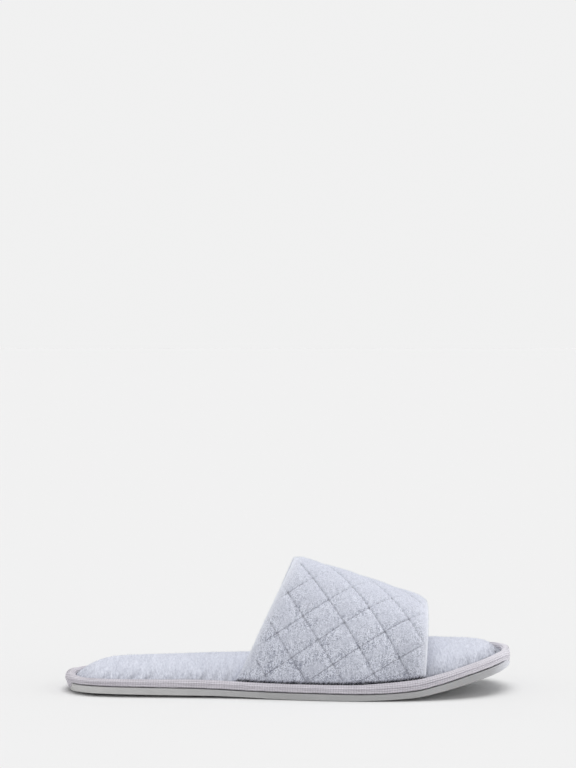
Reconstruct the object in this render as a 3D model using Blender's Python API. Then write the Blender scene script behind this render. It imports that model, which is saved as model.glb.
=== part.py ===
"""Slide slipper for a right foot: a quilted band on a crowned insole, a taped edge and a thin outsole.

Sections are worked out in millimetres from the back of the heel, with the toe along +X, the outer side
of the foot along -Y and the floor at zero. An empty then puts the middle of the underside at the origin.
"""

import math

import bmesh
import bpy
import numpy as np

MM = 0.001
CLEARANCE = 0.3  # left between pieces that touch
SHARP_ANGLE = math.radians(40.0)  # edges turned further than this are shaded as corners

# Finish of each part: colour, roughness
FINISHES = {
    "outsole": ((0.36, 0.36, 0.365), 0.75),
    "edge_binding": ((0.46, 0.44, 0.48), 0.85),
    "insole": ((0.60, 0.62, 0.71), 0.95),
    "upper": ((0.58, 0.60, 0.69), 0.95),
}

# Outline of the sole from above: name, from the heel, from the foot's axis
OUTLINE = (
    ("heel_back", 0.0, 0.0),
    ("heel_corner_outer", 7.5, -22.5),
    ("heel_outer", 38.0, -32.0),
    ("waist_outer", 100.0, -36.5),
    ("ball_outer", 163.0, -46.0),
    ("toe_outer", 225.0, -38.0),
    ("toe_corner_outer", 249.0, -21.0),
    ("toe_tip", 258.0, 4.0),
    ("toe_corner_inner", 251.5, 29.5),
    ("toe_inner", 230.0, 42.0),
    ("ball_inner", 184.0, 45.0),
    ("waist_inner", 104.0, 32.0),
    ("heel_inner", 38.0, 32.0),
    ("heel_corner_inner", 7.5, 22.5),
)
TOE_TIP = [row[0] for row in OUTLINE].index("toe_tip")
STATIONS = 48  # points along each side of the outline

# Layers of the sole along the foot: height of the underside at its edge and under the middle of the foot,
# thickness of the outsole, rise of the taped rim over it, and swell of the tape past it.
# The underside stands on the floor at heel and forefoot, with a low arch between and the toe sprung up.
STACK_COLUMNS = ("from_heel", "edge", "middle", "outsole", "rim", "swell")
STACK = (
    (0.0, 0.9, 0.8, 4.2, 4.9, 1.3),
    (14.0, 1.6, 0.0, 4.1, 4.1, 1.2),
    (74.0, 1.2, 0.0, 4.0, 4.6, 0.9),
    (81.0, 1.2, 0.8, 3.8, 4.7, 0.9),
    (104.0, 0.8, 0.8, 3.4, 4.9, 0.8),
    (118.0, 0.7, 0.7, 3.2, 4.8, 0.7),
    (124.0, 0.0, 0.0, 3.8, 4.8, 0.7),
    (171.0, 0.0, 0.0, 3.6, 5.3, 0.6),
    (178.0, 0.7, 0.7, 3.1, 5.4, 0.6),
    (200.0, 1.7, 1.7, 3.6, 5.9, 0.5),
    (214.0, 4.2, 4.2, 4.0, 5.8, 0.4),
    (236.0, 9.1, 9.1, 4.4, 5.9, 0.3),
    (248.0, 11.4, 11.4, 4.6, 6.4, 0.2),
    (258.0, 13.4, 13.4, 4.8, 5.2, 0.2),
)

TREAD_INSET = 9.0  # inside this line the underside lies at its middle height

# Edge of the outsole: name, inset from the outline, share of its thickness
OUTSOLE_EDGE = (
    ("underside", 2.2, 0.0),
    ("lower_round", 0.5, 0.1),
    ("wall_low", 0.0, 0.35),
    ("wall_high", 0.0, 0.78),
    ("upper_round", 0.35, 0.95),
    ("top", 1.2, 1.0),
)

BINDING_WIDTH = 4.6

# Section of the tape: name, inset from the outline, share of its rise, share of the swell
BINDING_SECTION = (
    ("under_outer", 1.2, 0.0, 0.0),
    ("side_low", 0.25, 0.09, 0.6),
    ("side_full", 0.0, 0.33, 1.0),
    ("crease", 0.5, 0.53, 0.7),
    ("roll_side", 0.3, 0.72, 0.8),
    ("roll_shoulder", 0.9, 0.92, 0.4),
    ("crest", 2.2, 1.0, 0.0),
    ("roll_inner", 3.8, 0.9, 0.0),
    ("inner_top", BINDING_WIDTH, 0.66, 0.0),
    ("under_inner", BINDING_WIDTH, 0.0, 0.0),
)

# Quilted band: edge, crest from the heel, crest height, outer seam from the heel, inner seam from the heel
BAND = (
    ("back", 133.3, 77.0, 101.0, 109.0),
    ("front", 208.5, 53.4, 204.6, 204.0),
)
BAND_WALL = 2.6
TUCK_WALL = 1.2  # pressed flat where it is sewn in
WALL_RISE = 7.0  # distance from the seam over which the wall fills out
BAND_FULLNESS = 0.95  # under one, the arch has fuller shoulders than an ellipse
CREST_BOW = 0.7  # rise of the crest line halfway along
BACK_BOW = 1.2  # how far the back edge swells backward halfway up
HEM_ROLL = 1.2  # rounding of the folded front and back edges
SEAM_DROP = 0.2  # where the band leaves the rim, under its crest
BAND_STEPS = 30  # along the foot
BAND_TURNS = 64  # over the foot
LINING_STRIDE = 3  # the plain inner face takes every third of those steps

# Quilting: stitch lines cross in diamonds, laid out along the crest and around the foot
QUILT_SLOPE = math.radians(16.0)  # fall of the crest towards the toe
CREST_WAY = np.array([math.cos(QUILT_SLOPE), 0.0, -math.sin(QUILT_SLOPE)])
QUILT_ALONG = 23.4  # length of a diamond
QUILT_AROUND = 24.8  # width of a diamond
QUILT_START = 107.3  # place of a row of crossings along the crest
QUILT_SHIFT = 0.25  # share of a diamond by which the crossings lie off the crest
QUILT_PUFF = 1.8  # height of a pad over its stitch lines
QUILT_ROUNDNESS = 0.6  # under one, the pads are fuller than a sine
QUILT_FADE = 5.0  # the pads flatten out over this distance from hem and seam

# Insole: from the heel, gap from the tape to the cover's foot (wider where the band is tucked in), and
# how far inside its foot the crown starts
TUCK_GAP = CLEARANCE + TUCK_WALL + CLEARANCE
INSOLE_COLUMNS = ("from_heel", "gap", "step_in")
INSOLE_EDGE = (
    (0.0, CLEARANCE, 0.3),
    (22.0, CLEARANCE, 0.0),
    (90.0, CLEARANCE, 0.0),
    (97.0, TUCK_GAP, 0.0),
    (209.0, TUCK_GAP, 0.0),
    (216.0, CLEARANCE, 0.0),
    (242.0, CLEARANCE, 0.0),
    (258.0, CLEARANCE, 2.7),
)
# Crown of the insole: from the heel, height over the sole's edge
CROWN = (
    (0.0, 16.5),
    (36.0, 18.5),
    (90.0, 20.1),
    (150.0, 22.5),
    (208.0, 26.7),
    (223.0, 23.4),
    (238.0, 19.7),
    (258.0, 16.5),
)
CROWN_EDGE_DROP = 1.2  # the crown starts this far under the rim's crest
COVER_FOOT_DROP = 1.0  # and the cover's foot meets the tape this far under that
CROWN_SHARES = (0.0, 0.06, 0.15, 0.28, 0.45, 0.65, 0.88)  # rings from the edge to the ridge line
CROWN_FULLNESS = 2.4  # over one, the cover rises steeply from the tape and flattens towards the ridge
RIDGE = (33.0, 240.0)  # ends of the ridge line, from the heel


def smooth(rows, x, column=1):
    """Value of a table's column at x, on a curve through its rows that never overshoots them."""
    at = np.array([row[0] for row in rows])
    value = np.array([row[column] for row in rows])
    width = np.diff(at)
    slope = np.diff(value) / width
    tangent = np.concatenate([slope[:1], np.zeros(len(at) - 2), slope[-1:]])
    for i in range(1, len(at) - 1):
        if slope[i - 1] * slope[i] > 0:
            before = 2 * width[i] + width[i - 1]
            after = width[i] + 2 * width[i - 1]
            tangent[i] = (before + after) / (before / slope[i - 1] + after / slope[i])
    i = np.clip(np.searchsorted(at, x, side="right") - 1, 0, len(at) - 2)
    u = np.clip((x - at[i]) / width[i], 0.0, 1.0)
    ease = u * u * (3 - 2 * u)
    bend = u * (1 - u) * ((1 - u) * tangent[i] - u * tangent[i + 1]) * width[i]
    return value[i] + (value[i + 1] - value[i]) * ease + bend


def closed_spline(points, marks):
    """Place and heading at path distances, on a smooth closed curve through the points."""
    count = len(points)
    step = np.linalg.norm(np.roll(points, -1, axis=0) - points, axis=1)
    system = np.zeros((count, count))
    right = np.zeros((count, 2))
    for i in range(count):
        j = (i + 1) % count
        system[i, i - 1] = step[i - 1]
        system[i, i] = 2 * (step[i - 1] + step[i])
        system[i, j] = step[i]
        right[i] = 6 * ((points[j] - points[i]) / step[i] - (points[i] - points[i - 1]) / step[i - 1])
    bend = np.linalg.solve(system, right)
    start = np.concatenate([[0.0], np.cumsum(step)])
    i = np.clip(np.searchsorted(start, marks, side="right") - 1, 0, count - 1)
    j = (i + 1) % count
    run = step[i][:, None]
    done = (marks - start[i])[:, None]
    left = run - done
    from_i = points[i] / run - bend[i] * run / 6
    from_j = points[j] / run - bend[j] * run / 6
    place = (bend[i] * left**3 + bend[j] * done**3) / (6 * run) + from_i * left + from_j * done
    heading = (bend[j] * done**2 - bend[i] * left**2) / (2 * run) - from_i + from_j
    return place, heading / np.linalg.norm(heading, axis=1)[:, None]


def outline_loop():
    """Outline from the heel's back along the outer side to the toe and back, and the way inward at each point."""
    points = np.array([row[1:] for row in OUTLINE])
    step = np.linalg.norm(np.roll(points, -1, axis=0) - points, axis=1)
    toe = step[:TOE_TIP].sum()
    outer = np.linspace(0.0, toe, STATIONS, endpoint=False)
    inner = np.linspace(toe, step.sum(), STATIONS, endpoint=False)
    place, heading = closed_spline(points, np.concatenate([outer, inner]))
    return place, np.column_stack([-heading[:, 1], heading[:, 0]])


EDGE, INWARD = outline_loop()


def plan_loop(inset):
    return EDGE + INWARD * np.reshape(inset, (-1, 1))


def stack(name, x):
    """One of the sole's layers at x."""
    return smooth(STACK, x, STACK_COLUMNS.index(name))


def rim_crest(x):
    """Height of the taped rim over the edge of the sole's underside."""
    return stack("outsole", x) + CLEARANCE + stack("rim", x)


def lifted(plan, height):
    """A loop seen from above, set at a height over the edge of the sole's underside."""
    return np.column_stack([plan, stack("edge", plan[:, 0]) + height])


def side_line(inset, x, side):
    """Distance from the foot's axis, at x, of the outline moved in, on the outer (-1) or inner (1) side."""
    plan = plan_loop(inset)
    half = plan[: STATIONS + 1] if side < 0 else np.concatenate([plan[:1], plan[:STATIONS - 1:-1]])
    return np.interp(x, half[:, 0], half[:, 1])


def add_ring(bm, points):
    return [bm.verts.new(point * MM) for point in points]


def skin(bm, rings):
    """Four-sided faces from each ring to the next. The rings have as many points each."""
    for low, high in zip(rings, rings[1:]):
        for i in range(len(low)):
            bm.faces.new((low[i - 1], low[i], high[i], high[i - 1]))


def close_across(bm, ring):
    """Strips from the outer side of a ring to its inner side, so that a long curved end keeps its rise."""
    count = len(ring)
    for i in range(count // 2):
        strip = (ring[i], ring[i + 1], ring[(count - i - 1) % count], ring[-i])
        bm.faces.new(list(dict.fromkeys(strip)))


def finish(name, bm):
    """Makes the part's object, with its material, under the slipper's empty."""
    bmesh.ops.recalc_face_normals(bm, faces=bm.faces)
    mesh = bpy.data.meshes.new(name)
    bm.to_mesh(mesh)
    bm.free()
    mesh.shade_smooth()
    mesh.set_sharp_from_angle(angle=SHARP_ANGLE)
    colour, roughness = FINISHES[name]
    material = bpy.data.materials.new(name)
    material.use_nodes = True
    shader = material.node_tree.nodes["Principled BSDF"]
    shader.inputs["Base Color"].default_value = (*colour, 1.0)
    shader.inputs["Roughness"].default_value = roughness
    shader.inputs["Metallic"].default_value = 0.0
    mesh.materials.append(material)
    part = bpy.data.objects.new(name, mesh)
    slipper.objects.link(part)
    return part


def make_outsole():
    """Thin slab with rounded edges, bent up at the toe, that touches the floor at heel and forefoot."""
    bm = bmesh.new()
    tread = plan_loop(TREAD_INSET)
    rings = [add_ring(bm, np.column_stack([tread, stack("middle", tread[:, 0])]))]
    for _, inset, share in OUTSOLE_EDGE:
        plan = plan_loop(inset)
        rings.append(add_ring(bm, lifted(plan, share * stack("outsole", plan[:, 0]))))
    skin(bm, rings)
    close_across(bm, rings[0])
    close_across(bm, rings[-1])
    return finish("outsole", bm)


def make_edge_binding():
    """Tape rolled over the edge, creased along its side, carried right round the outline."""
    bm = bmesh.new()
    swell = stack("swell", EDGE[:, 0])
    rings = []
    for _, inset, rise_share, swell_share in BINDING_SECTION:
        plan = plan_loop(inset - swell * swell_share)
        base = stack("outsole", plan[:, 0]) + CLEARANCE
        rings.append(add_ring(bm, lifted(plan, base + rise_share * stack("rim", plan[:, 0]))))
    skin(bm, rings + rings[:1])
    return finish("edge_binding", bm)


def make_insole():
    """Foam pad that rises from the tape to a ridge line along the foot."""
    bm = bmesh.new()
    gap = smooth(INSOLE_EDGE, EDGE[:, 0], INSOLE_COLUMNS.index("gap"))
    step_in = smooth(INSOLE_EDGE, EDGE[:, 0], INSOLE_COLUMNS.index("step_in"))
    seat = plan_loop(BINDING_WIDTH + gap)
    edge = plan_loop(BINDING_WIDTH + gap + step_in)
    partner = edge[-np.arange(len(edge)) % len(edge)]
    ridge = (edge + partner) / 2
    along = (ridge[:, 0] - ridge[0, 0]) / (ridge[STATIONS, 0] - ridge[0, 0])
    ridge[:, 0] = RIDGE[0] + along * (RIDGE[1] - RIDGE[0])
    cover_foot = rim_crest(seat[:, 0]) - CROWN_EDGE_DROP - COVER_FOOT_DROP
    rings = [
        add_ring(bm, lifted(seat, stack("outsole", seat[:, 0]) + CLEARANCE)),
        add_ring(bm, lifted(seat, cover_foot)),
    ]
    for share in CROWN_SHARES:
        plan = edge + (ridge - edge) * share
        low = rim_crest(plan[:, 0]) - CROWN_EDGE_DROP
        swell = 1 - (1 - share) ** CROWN_FULLNESS
        rings.append(add_ring(bm, lifted(plan, low + (smooth(CROWN, plan[:, 0]) - low) * swell)))
    skin(bm, rings)
    close_across(bm, rings[0])
    close_across(bm, rings[-1])
    return finish("insole", bm)


def band_surface():
    """Points of the unpadded band, from back to front and from the outer tuck over the foot to the inner."""
    inset = BINDING_WIDTH + CLEARANCE
    along = np.linspace(0.0, 1.0, BAND_STEPS + 1)[:, None]
    turn = np.linspace(-math.pi / 2, math.pi / 2, BAND_TURNS + 1)[None, :]
    _, *back = BAND[0]
    _, *front = BAND[1]
    crest_x, crest_z, outer_x, inner_x = (b + (f - b) * along for b, f in zip(back, front))
    crest_z = crest_z + CREST_BOW * np.sin(math.pi * along)
    seam_x = np.where(turn < 0, outer_x, inner_x)
    seam_y = np.where(turn < 0, side_line(inset, seam_x, -1), side_line(inset, seam_x, 1))
    sole_edge = stack("edge", seam_x)
    seam_z = sole_edge + rim_crest(seam_x) - SEAM_DROP
    rise = np.maximum(np.cos(turn), 0.0) ** BAND_FULLNESS
    x = crest_x + (seam_x - crest_x) * (1 - rise) - BACK_BOW * (1 - along) * np.sin(math.pi * rise)
    y = seam_y * np.abs(np.sin(turn)) ** BAND_FULLNESS
    z = seam_z + (crest_z - seam_z) * rise
    band = np.stack([x, y, z], axis=2)
    tuck = np.stack([seam_x, seam_y, sole_edge + stack("outsole", seam_x) + CLEARANCE], axis=2)
    return np.concatenate([tuck[:, :1], band, tuck[:, -1:]], axis=1)


def girth(band):
    """Distance of each point from the crest, measured over the band square to the crest."""
    step = np.diff(band, axis=1)
    across = np.sqrt(np.maximum((step**2).sum(axis=2) - (step @ CREST_WAY) ** 2, 0.0))
    around = np.concatenate([np.zeros((len(band), 1)), np.cumsum(across, axis=1)], axis=1)
    return around - around[:, around.shape[1] // 2][:, None]


def quilting(band, around, to_seam):
    """Height of the padding at each point: zero on the stitch lines, full in the middle of each diamond."""
    c = (band @ CREST_WAY - QUILT_START) / QUILT_ALONG
    t = around / QUILT_AROUND + QUILT_SHIFT
    pads = np.abs(np.sin(math.pi * (c + t)) * np.sin(math.pi * (c - t))) ** QUILT_ROUNDNESS
    length = np.linalg.norm(np.diff(band, axis=0), axis=2).cumsum(axis=0)
    from_back = np.concatenate([np.zeros((1, band.shape[1])), length])
    to_hem = np.minimum(from_back, from_back[-1:] - from_back)
    return QUILT_PUFF * pads * np.clip(np.minimum(to_seam, to_hem) / QUILT_FADE, 0.0, 1.0)


def make_upper():
    """Hollow band: padded face, folded edges and plain lining, as closed sections carried over the foot."""
    bm = bmesh.new()
    band = band_surface()
    forward = np.gradient(band, axis=0)
    outward = np.cross(forward, np.gradient(band, axis=1))
    outward /= np.linalg.norm(outward, axis=2)[:, :, None]
    forward /= np.linalg.norm(forward, axis=2)[:, :, None]
    around = girth(band)
    to_seam = np.minimum(around - around[:, 1:2], around[:, -2:-1] - around)
    fill = np.clip(to_seam / WALL_RISE, 0.0, 1.0)
    wall = TUCK_WALL + (BAND_WALL - TUCK_WALL) * fill
    face = band + outward * quilting(band, around, to_seam)[:, :, None]
    lining = band - outward * wall[:, :, None]
    middle = (band + lining) / 2
    front_fold = middle[-1:] + forward[-1:] * HEM_ROLL
    back_fold = middle[:1] - forward[:1] * HEM_ROLL
    sections = np.concatenate([face, front_fold, lining[::-LINING_STRIDE], back_fold])
    rings = [add_ring(bm, sections[:, i]) for i in range(sections.shape[1])]
    skin(bm, rings)
    bm.faces.new(rings[0])
    bm.faces.new(rings[-1])
    return finish("upper", bm)


for old in list(bpy.data.objects):
    bpy.data.objects.remove(old, do_unlink=True)

slipper = bpy.data.collections.new("slide_slipper")
bpy.context.scene.collection.children.link(slipper)
parts = [make_outsole(), make_edge_binding(), make_insole(), make_upper()]

corners = np.array([corner for part in parts for corner in part.bound_box])
middle = (corners.min(axis=0) + corners.max(axis=0)) / 2
foot = bpy.data.objects.new("underside_middle", None)
foot.location = (-middle[0], -middle[1], 0.0)
slipper.objects.link(foot)
for part in parts:
    part.parent = foot
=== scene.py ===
"""Looks of a right slide slipper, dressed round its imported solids.

Lengths in the tables are millimetres from the back of the heel, with the toe along +X, the outer side of the
foot along -Y and the floor at zero.
"""

import math

import bmesh
import bpy
import numpy as np
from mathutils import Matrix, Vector


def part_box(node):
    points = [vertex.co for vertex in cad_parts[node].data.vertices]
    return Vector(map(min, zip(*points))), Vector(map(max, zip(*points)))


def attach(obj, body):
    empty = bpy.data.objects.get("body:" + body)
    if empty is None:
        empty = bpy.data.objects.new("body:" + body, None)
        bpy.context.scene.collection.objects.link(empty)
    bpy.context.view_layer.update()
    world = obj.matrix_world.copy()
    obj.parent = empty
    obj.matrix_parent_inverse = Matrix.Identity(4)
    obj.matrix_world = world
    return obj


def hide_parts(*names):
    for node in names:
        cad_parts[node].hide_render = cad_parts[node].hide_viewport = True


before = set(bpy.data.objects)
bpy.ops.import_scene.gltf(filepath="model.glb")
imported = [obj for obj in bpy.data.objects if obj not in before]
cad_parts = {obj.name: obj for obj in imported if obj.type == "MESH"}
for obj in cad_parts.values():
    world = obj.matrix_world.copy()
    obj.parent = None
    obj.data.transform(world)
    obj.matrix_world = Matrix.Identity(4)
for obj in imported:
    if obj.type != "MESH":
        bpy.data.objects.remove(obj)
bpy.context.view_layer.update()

# Outsole: a thin sheet of soft grey rubber, cut to the outline of the foot and turned up a little at the toe.
# A fine bead runs along both edges of its wall. Low waves across the underside grip the floor.
MM = 0.001
OUTLINE = (  # name, from the heel, from the foot's axis
    ("heel_back", 0.0, 0.0),
    ("heel_corner_outer", 7.5, -22.5),
    ("heel_outer", 38.0, -32.0),
    ("waist_outer", 100.0, -36.5),
    ("ball_outer", 163.0, -46.0),
    ("toe_outer", 225.0, -38.0),
    ("toe_corner_outer", 249.0, -21.0),
    ("toe_tip", 258.0, 4.0),
    ("toe_corner_inner", 251.5, 29.5),
    ("toe_inner", 230.0, 42.0),
    ("ball_inner", 184.0, 45.0),
    ("waist_inner", 104.0, 32.0),
    ("heel_inner", 38.0, 32.0),
    ("heel_corner_inner", 7.5, 22.5),
)
TOE_TIP = [row[0] for row in OUTLINE].index("toe_tip")
STATIONS = 260  # points along each side of the outline
LAYERS = (  # from the heel: underside's edge and middle, outsole's thickness, rim's rise, tape's swell
    (0.0, 0.9, 0.8, 4.2, 4.9, 1.0),
    (14.0, 1.6, 0.0, 4.1, 3.8, 0.5),
    (74.0, 1.2, 0.0, 4.0, 4.6, 0.2),
    (81.0, 1.2, 0.8, 3.8, 4.7, 0.2),
    (104.0, 0.7, 0.7, 3.5, 4.6, 0.2),
    (118.0, 0.25, 0.25, 3.65, 4.5, 0.2),
    (130.0, 0.0, 0.0, 3.75, 4.5, 0.2),
    (165.0, 0.0, 0.0, 3.6, 4.9, 0.2),
    (178.0, 0.4, 0.4, 3.4, 5.4, 0.2),
    (200.0, 1.7, 1.7, 3.6, 5.9, 0.2),
    (214.0, 4.2, 4.2, 4.0, 5.8, 0.2),
    (236.0, 9.2, 9.2, 4.7, 5.6, 0.2),
    (248.0, 11.9, 11.9, 4.6, 6.0, 0.2),
    (258.0, 14.4, 14.4, 4.2, 4.8, 0.2),
)
LAYER_NAMES = ("from_heel", "edge", "middle", "outsole", "rim", "swell")
SPINE = (33.0, 240.0)  # ends of the line along the middle of the sole
TREAD_INSET = 9.0
WALL = (  # inset from the outline, share of the thickness
    (2.2, 0.0),
    (0.5, 0.03),
    (-0.1, 0.1),
    (-0.15, 0.18),
    (0.2, 0.27),
    (0.2, 0.72),
    (-0.1, 0.83),
    (-0.1, 0.92),
    (0.3, 0.985),
    (1.3, 1.0),
)
WALL_POINTS = 48
HEEL_TUCK = (  # from the heel, how far the wall is drawn in under the tape
    (0.0, 1.4),
    (6.0, 0.7),
    (16.0, 0.0),
    (258.0, 0.0),
)
WAVE_PITCH = 6.0
WAVE_DEPTH = 0.8
WAVE_SWING = 2.4  # how far each wave swings along the foot
WAVE_SPAN = 15.0  # from swing to swing, across the foot
WAVE_FLATNESS = 1.6  # over 1, the waves' tops and the grooves between them are flat
WAVE_START = 0.08  # share of the way in over which the waves grow
GROOVE_PAINTED_SHADE = 0.55  # painted shade: how much darker the grooves are
TREAD_RINGS = 34
TOP_RINGS = (0.1, 0.3, 0.6, 1.0)  # shares of the way in over the top
WELD = 0.001  # points as close as this become one


def along_table(rows, x, column=1):
    """Value of a table's column at x, on a curve through its rows that never overshoots them."""
    at = np.array([row[0] for row in rows])
    value = np.array([row[column] for row in rows])
    width = np.diff(at)
    slope = np.diff(value) / width
    tangent = np.concatenate([slope[:1], np.zeros(len(at) - 2), slope[-1:]])
    for i in range(1, len(at) - 1):
        if slope[i - 1] * slope[i] > 0:
            before = 2 * width[i] + width[i - 1]
            after = width[i] + 2 * width[i - 1]
            tangent[i] = (before + after) / (before / slope[i - 1] + after / slope[i])
    i = np.clip(np.searchsorted(at, x, side="right") - 1, 0, len(at) - 2)
    u = np.clip((x - at[i]) / width[i], 0.0, 1.0)
    bend = u * (1 - u) * ((1 - u) * tangent[i] - u * tangent[i + 1]) * width[i]
    return value[i] + (value[i + 1] - value[i]) * u * u * (3 - 2 * u) + bend


def layer(name, x):
    return along_table(LAYERS, x, LAYER_NAMES.index(name))


def closed_curve(points, marks):
    """Place and heading at distances along a smooth closed curve through the points."""
    count = len(points)
    step = np.linalg.norm(np.roll(points, -1, axis=0) - points, axis=1)
    system = np.zeros((count, count))
    right = np.zeros((count, 2))
    for i in range(count):
        j = (i + 1) % count
        system[i, i - 1] = step[i - 1]
        system[i, i] = 2 * (step[i - 1] + step[i])
        system[i, j] = step[i]
        right[i] = 6 * ((points[j] - points[i]) / step[i] - (points[i] - points[i - 1]) / step[i - 1])
    bend = np.linalg.solve(system, right)
    start = np.concatenate([[0.0], np.cumsum(step)])
    i = np.clip(np.searchsorted(start, marks, side="right") - 1, 0, count - 1)
    j = (i + 1) % count
    run = step[i][:, None]
    done = (marks - start[i])[:, None]
    left = run - done
    from_i = points[i] / run - bend[i] * run / 6
    from_j = points[j] / run - bend[j] * run / 6
    place = (bend[i] * left**3 + bend[j] * done**3) / (6 * run) + from_i * left + from_j * done
    heading = (bend[j] * done**2 - bend[i] * left**2) / (2 * run) - from_i + from_j
    return place, heading / np.linalg.norm(heading, axis=1)[:, None]


corners = np.array([row[1:] for row in OUTLINE])
sides = np.linalg.norm(np.roll(corners, -1, axis=0) - corners, axis=1)
toe_mark = sides[:TOE_TIP].sum()
marks = np.concatenate([
    np.linspace(0.0, toe_mark, STATIONS, endpoint=False),
    np.linspace(toe_mark, sides.sum(), STATIONS, endpoint=False),
])
EDGE, heading = closed_curve(corners, marks)
INWARD = np.column_stack([-heading[:, 1], heading[:, 0]])
AROUND = np.concatenate([[0.0], np.linalg.norm(np.diff(EDGE, axis=0), axis=1).cumsum()])
outsole_low = np.array(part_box("outsole")[0])
# The heel's back on the floor, in the part's frame.
HEEL = np.array([*(outsole_low[:2] - EDGE.min(axis=0) * MM), 0.0])


def outline_in(inset):
    return EDGE + INWARD * np.reshape(inset, (-1, 1))


def raised(plan, height):
    """A loop seen from above, set at a height over the edge of the sole's underside."""
    return np.column_stack([plan, layer("edge", plan[:, 0]) + height])


def middle_line(loop):
    """For each point of a loop, the point of the sole's middle line that it moves in to."""
    line = (loop + loop[-np.arange(len(loop)) % len(loop)]) / 2
    share = (line[:, 0] - line[0, 0]) / (line[STATIONS, 0] - line[0, 0])
    line[:, 0] = SPINE[0] + share * (SPINE[1] - SPINE[0])
    return line


def rounded(points, count):
    """A smooth line of so many points through a few."""
    points = np.array(points)
    padded = np.concatenate([2 * points[:1] - points[1:2], points, 2 * points[-1:] - points[-2:-1]])
    length = np.concatenate([[0.0], np.linalg.norm(np.diff(points, axis=0), axis=1).cumsum()])
    place = np.interp(np.linspace(0.0, length[-1], count), length, np.arange(len(points)))
    i = np.minimum(place.astype(int), len(points) - 2)
    u = (place - i)[:, None]
    a, b, c, d = (padded[i + k] for k in range(4))
    return b + 0.5 * u * (c - a + u * (2 * a - 5 * b + 4 * c - d + u * (3 * (b - c) + d - a)))


def placed(name, data):
    """A new object in the scene."""
    made = bpy.data.objects.new(name, data)
    bpy.context.scene.collection.objects.link(made)
    return made


def wrapped(name, rows, **marks):
    """A piece with a mesh of four-sided faces through rows of points, each row a loop.

    Marks are values that the mesh keeps at its points.
    """
    steps, turns = rows.shape[0] - 1, rows.shape[1]
    bm = bmesh.new()
    layers = {key: bm.verts.layers.float.new(key) for key in marks}
    bmesh.ops.create_grid(bm, x_segments=turns, y_segments=steps, size=0.5)
    for vert in bm.verts:
        turn = round((vert.co.x + 0.5) * turns) % turns
        step = round((vert.co.y + 0.5) * steps)
        vert.co = rows[step, turn] * MM + HEEL
        for key, value in marks.items():
            vert[layers[key]] = value[step, turn]
    bmesh.ops.remove_doubles(bm, verts=bm.verts, dist=WELD * MM)
    bmesh.ops.holes_fill(bm, edges=[edge for edge in bm.edges if edge.is_boundary], sides=0)
    bmesh.ops.recalc_face_normals(bm, faces=bm.faces)
    mesh = bpy.data.meshes.new(name)
    bm.to_mesh(mesh)
    bm.free()
    mesh.shade_smooth()
    return placed(name, mesh)


def dressed(piece, material):
    piece.data.materials.append(material)
    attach(piece, "root")


tread_edge = outline_in(TREAD_INSET)
tread_middle = middle_line(tread_edge)
rows = []
grooves = []
for share in np.linspace(1.0, 0.0, TREAD_RINGS):
    plan = tread_edge + (tread_middle - tread_edge) * share
    swing = WAVE_SWING * np.sin(plan[:, 1] * 2 * math.pi / WAVE_SPAN)
    wave = np.clip(np.sin((plan[:, 0] + swing) * 2 * math.pi / WAVE_PITCH) * WAVE_FLATNESS, -1.0, 1.0)
    groove = WAVE_DEPTH * (0.5 - 0.5 * wave) * min(1.0, share / WAVE_START)
    rows.append(np.column_stack([plan, layer("middle", plan[:, 0]) + groove]))
    grooves.append(groove / WAVE_DEPTH)
heel_tuck = along_table(HEEL_TUCK, EDGE[:, 0])
for inset, share in rounded(WALL, WALL_POINTS):
    plan = outline_in(inset + heel_tuck)
    rows.append(raised(plan, share * layer("outsole", plan[:, 0])))
top_edge = outline_in(WALL[-1][0] + heel_tuck)
top_middle = middle_line(top_edge)
for share in TOP_RINGS:
    plan = top_edge + (top_middle - top_edge) * share
    rows.append(raised(plan, layer("outsole", plan[:, 0])))
grooves = np.concatenate([grooves, np.zeros((len(rows) - len(grooves), len(EDGE)))])
outsole = wrapped("outsole_rubber", np.array(rows), groove=grooves)


def new_material(name):
    """A material, with functions that add a node to it, feed its shader and set its shader.

    A node's inputs are given by name or by number, as values or as sockets.
    """
    material = bpy.data.materials.new(name)
    material.use_nodes = True
    tree = material.node_tree
    shader = tree.nodes["Principled BSDF"].inputs

    def node(kind, settings=None, **inputs):
        made = tree.nodes.new("ShaderNode" + kind)
        for key, value in (settings or {}).items():
            setattr(made, key, value)
        for key, value in inputs.items():
            socket = made.inputs[int(key[1:])] if key[1:].isdigit() else made.inputs[key.replace("_", " ")]
            if isinstance(value, bpy.types.NodeSocket):
                tree.links.new(value, socket)
            else:
                socket.default_value = value
        return made

    def into(socket_name, source):
        tree.links.new(source, shader[socket_name])

    def finish(**values):
        for key, value in values.items():
            shader[key.replace("_", " ")].default_value = value

    return material, node, into, finish


def kept_mark(node, name, times):
    """A value that the mesh keeps at its points, times a number."""
    value = node("Attribute", {"attribute_name": name}).outputs["Fac"]
    return node("Math", {"operation": "MULTIPLY"}, _0=value, _1=times).outputs[0]


def blend(node, share, first, second):
    """A colour on the way from the first to the second."""
    return node("Mix", {"data_type": "RGBA"}, _0=share, _6=first, _7=second).outputs[2]


def ranged(node, value, source, target, **settings):
    """A value carried over from one range to another."""
    low, high = source
    to_low, to_high = target
    return node("MapRange", settings, _0=value, _1=low, _2=high, _3=to_low, _4=to_high).outputs[0]


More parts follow.
